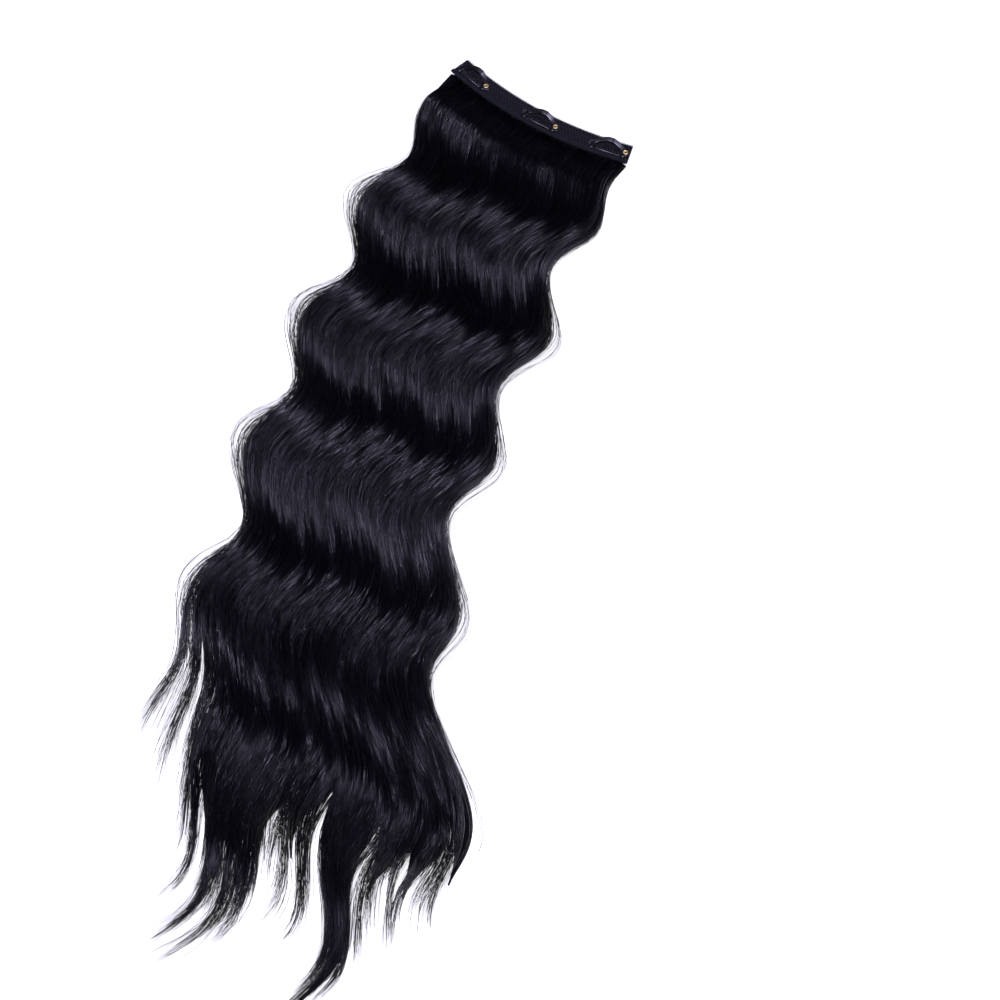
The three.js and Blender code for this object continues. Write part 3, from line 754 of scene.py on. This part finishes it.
def makeUnderMaterial():
    made, tree, shader = newMaterial("denseHair", IOR=1.3, Specular_IOR_Level=0.25)
    uv = node(tree, "UVMap", {"uv_map": "along"})
    streak = placeEffect(tree, "streaks", Vector=uv.outputs[0], Across=160.0, Along=0.35)
    stops = [(0.35, hairLook["underDark"]), (0.7, hairLook["underLight"])]
    tree.links.new(colourRamp(tree, streak.outputs[0], stops), shader.inputs["Base Color"])
    rough = node(tree, "MapRange", Value=streak.outputs[0], i3=0.75, i4=0.5)
    tree.links.new(rough.outputs[0], shader.inputs["Roughness"])
    bumpFrom(tree, shader, streak.outputs[0], 0.8, 0.0006)
    return made


def makeClothMaterial(name, dark, light, pitch, strength, rough):
    made, tree, shader = newMaterial(name, Sheen_Weight=0.1, Sheen_Roughness=0.5, Specular_IOR_Level=0.2)
    where = node(tree, "TexCoord")
    weave = placeEffect(tree, "weave", Vector=where.outputs["Object"], Pitch=pitch, Fuzz=0.5)
    colour = colourRamp(tree, weave.outputs["Shade"], [(0.1, dark), (0.85, light)])
    tree.links.new(colour, shader.inputs["Base Color"])
    value = node(tree, "MapRange", Value=weave.outputs["Shade"], i3=rough, i4=rough - 0.15)
    tree.links.new(value.outputs[0], shader.inputs["Roughness"])
    bumpFrom(tree, shader, weave.outputs["Height"], strength, 0.0002)
    return made


# Twisted thread: slanting bands along the piece's own UV, lighter and darker in patches
def makeThreadMaterial(name, dark, light, rough):
    made, tree, shader = newMaterial(name, Sheen_Weight=0.1)
    uv = node(tree, "UVMap", {"uv_map": "along"})
    wave = node(tree, "TexWave", {"wave_type": "BANDS", "bands_direction": "DIAGONAL"},
                Vector=uv.outputs[0], Scale=14.0, Distortion=0.4)
    where = node(tree, "TexCoord")
    patch = node(tree, "TexNoise", Vector=where.outputs["Object"], Scale=520.0, Detail=3.0, Roughness=0.65)
    spread = node(tree, "MapRange", Value=patch.outputs[0], i1=0.38, i2=0.66, i3=0.1, i4=1.0)
    shade = node(tree, "Math", {"operation": "MULTIPLY"}, i0=wave.outputs["Fac"], i1=spread.outputs[0])
    colour = colourRamp(tree, shade.outputs[0], [(0.05, dark), (0.6, light)])
    tree.links.new(colour, shader.inputs["Base Color"])
    value = node(tree, "MapRange", Value=wave.outputs["Fac"], i3=rough, i4=rough - 0.15)
    tree.links.new(value.outputs[0], shader.inputs["Roughness"])
    bumpFrom(tree, shader, wave.outputs["Fac"], 0.5, 0.0001)
    return made


def makeHardMaterial(name, colours, rough, amount, **constants):
    made, tree, shader = newMaterial(name, **constants)
    where = node(tree, "TexCoord")
    marks = placeEffect(tree, "marks", Vector=where.outputs["Object"], Base_Roughness=rough, Amount=amount)
    tree.links.new(marks.outputs["Roughness"], shader.inputs["Roughness"])
    colour = colourRamp(tree, marks.outputs["Height"], [(0.1, colours[0]), (0.6, colours[1])])
    tree.links.new(colour, shader.inputs["Base Color"])
    bumpFrom(tree, shader, marks.outputs["Height"], 0.15, 0.00005)
    return made


looks = {
    "strand": makeStrandMaterial(),
    "under": makeUnderMaterial(),
    "lace": makeClothMaterial("laceGround", (0.002, 0.002, 0.004), (0.007, 0.008, 0.015), 0.0008, 0.6, 0.9),
    "hem": makeClothMaterial("hemTwill", (0.004, 0.005, 0.009), (0.014, 0.017, 0.027), 0.0006, 0.7, 0.85),
    "thread": makeThreadMaterial("laceThread", (0.002, 0.002, 0.005), (0.036, 0.045, 0.072), 0.75),
    # the sewing thread's light grey base colour is a painted highlight: it stands in for the glints on the
    # stitches over the comb's spine and through the loop ring
    "sewing": makeThreadMaterial("sewingThreadPaintedGlint", (0.06, 0.06, 0.08), (0.22, 0.22, 0.27), 0.5),
    "clip": makeHardMaterial("blackLacquer", ((0.006, 0.006, 0.008), (0.014, 0.014, 0.018)), 0.22, 0.3,
                             Metallic=0.0, Coat_Weight=0.25, Coat_Roughness=0.12, IOR=1.45),
    "rivet": makeHardMaterial("paleBrass", ((0.85, 0.62, 0.26), (1.0, 0.93, 0.56)), 0.3, 0.3, Metallic=1.0),
}


def dress(made, look, body):
    made.data.materials.append(looks[look])
    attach(made, body)
    return made


underHair = dress(makeUnderHair(), "under", "weft")
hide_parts("hair")
for number in range(1, strands["pieces"] + 1):
    dress(makeStrands(number), "strand", "weft")
dress(makeEnds(), "strand", "weft")
dress(makeFringe(), "strand", "weft")
print("hair laid")

laceBand = dress(makeLace(), "lace", "weft")
laceNet = dress(makeNet(), "thread", "weft")
lacePicots = dress(makePicots(), "thread", "weft")
hemTape = dress(makeHem(), "hem", "weft")
hemStitches = dress(makeHemStitches(), "thread", "weft")
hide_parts("lace_band")
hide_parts("hem_tape")
print("strip sewn")


# A clip's piece, put in its place on the strip
def seatTubes(name, number, groups, loop=False):
    return putTubes(f"{name}_{number}", [seatClip(group, number) for group in groups], loop=loop)


for number in clip["places"]:
    loops, bars = makeClipFrame()
    rings = seatTubes("clip_rings", number, loops, loop=True)
    arch = seatTubes("clip_arch", number, bars)
    comb = seatTubes("comb", number, makeClipComb())
    eyelet = seatTubes("rivet", number, [makeRivet()], loop=True)
    threads = seatTubes("comb_threads", number, [makeCombThreads()])
    ties = seatTubes("loop_threads", number, [makeLoopThreads()])
    wraps = seatTubes("arch_threads", number, [makeArchThreads()])
    dress(rings, "clip", "weft")
    dress(arch, "clip", "weft")
    dress(comb, "clip", f"comb_{number}")
    dress(eyelet, "rivet", "weft")
    # the comb's and the loop's sewing threads take the light grey look, a painted highlight for their glints
    dress(threads, "sewing", f"comb_{number}")
    dress(ties, "sewing", "weft")
    dress(wraps, "thread", "weft")
    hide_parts(f"clip_frame_{number}")
    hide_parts(f"clip_comb_{number}")
    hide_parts(f"clip_rivet_{number}")
print("clips fitted")

# Pale floor and studio light. The key stands where the tops of the waves mirror it towards the camera, the
# low lamp lights the last quarter of the hair alone, and the rear one shows the waves from behind.
floorLook = {"size": 8.0, "colour": (0.8, 0.8, 0.8), "glow": 0.85}
lampAim = (0.10, -0.30, 0)
lamps = {
    "key": {"toward": (-0.04, 0.353, 0.934), "distance": 2.2, "size": (0.9, 0.26), "power": 24,
            "colour": (0.75, 0.69, 1.0)},
    "low": {"toward": (-0.32, 0, 0.948), "distance": 2.2, "size": (0.7, 0.16), "power": 0.36,
            "colour": (0.74, 0.67, 1.0), "aim": (0.13, -0.54, 0), "spread": 0.4},
    "rear": {"toward": (0.1, -0.62, 0.78), "distance": 2.4, "size": (1.0, 0.3), "power": 18,
             "colour": (0.8, 0.75, 1.0)},
    "fill": {"toward": (0.75, -0.25, 0.62), "distance": 2.6, "size": (1.0, 1.0), "power": 1},
    "left": {"toward": (-0.85, -0.2, 0.5), "distance": 2.4, "size": (1.0, 0.8), "power": 1},
}
worldGlow = 0.03


def makeFloor():
    mesh = bpy.data.meshes.new("floor")
    half = floorLook["size"] / 2
    corners = [(-half, -half, 0), (half, -half, 0), (half, half, 0), (-half, half, 0)]
    mesh.from_pydata(corners, [], [(0, 1, 2, 3)])
    floor = bpy.data.objects.new("floor", mesh)
    bpy.context.scene.collection.objects.link(floor)
    made, tree, shader = newMaterial("paleFloor", Roughness=0.9, Specular_IOR_Level=0.0)
    shader.inputs["Base Color"].default_value = (*floorLook["colour"], 1)
    shader.inputs["Emission Color"].default_value = (1, 1, 1, 1)
    shader.inputs["Emission Strength"].default_value = floorLook["glow"]
    mesh.materials.append(made)


def makeLamps():
    for name, lamp in lamps.items():
        data = bpy.data.lights.new(name, "AREA")
        data.spread = lamp.get("spread", math.pi)
        data.shape, data.size, data.size_y, data.energy = "RECTANGLE", *lamp["size"], lamp["power"]
        data.color = lamp.get("colour", (1, 1, 1))
        made = bpy.data.objects.new(name, data)
        bpy.context.scene.collection.objects.link(made)
        toward = Vector(lamp["toward"]).normalized()
        made.location = Vector(lamp.get("aim", lampAim)) + toward * lamp["distance"]
        made.rotation_euler = (-toward).to_track_quat("-Z", "Y").to_euler()
    world = bpy.data.worlds.new("studio")
    world.use_nodes = True
    ground = world.node_tree.nodes["Background"]
    ground.inputs[0].default_value, ground.inputs[1].default_value = (1, 1, 1, 1), worldGlow
    bpy.context.scene.world = world
    bpy.context.scene.view_settings.view_transform = "Standard"


makeFloor()
makeLamps()
print("studio lit")
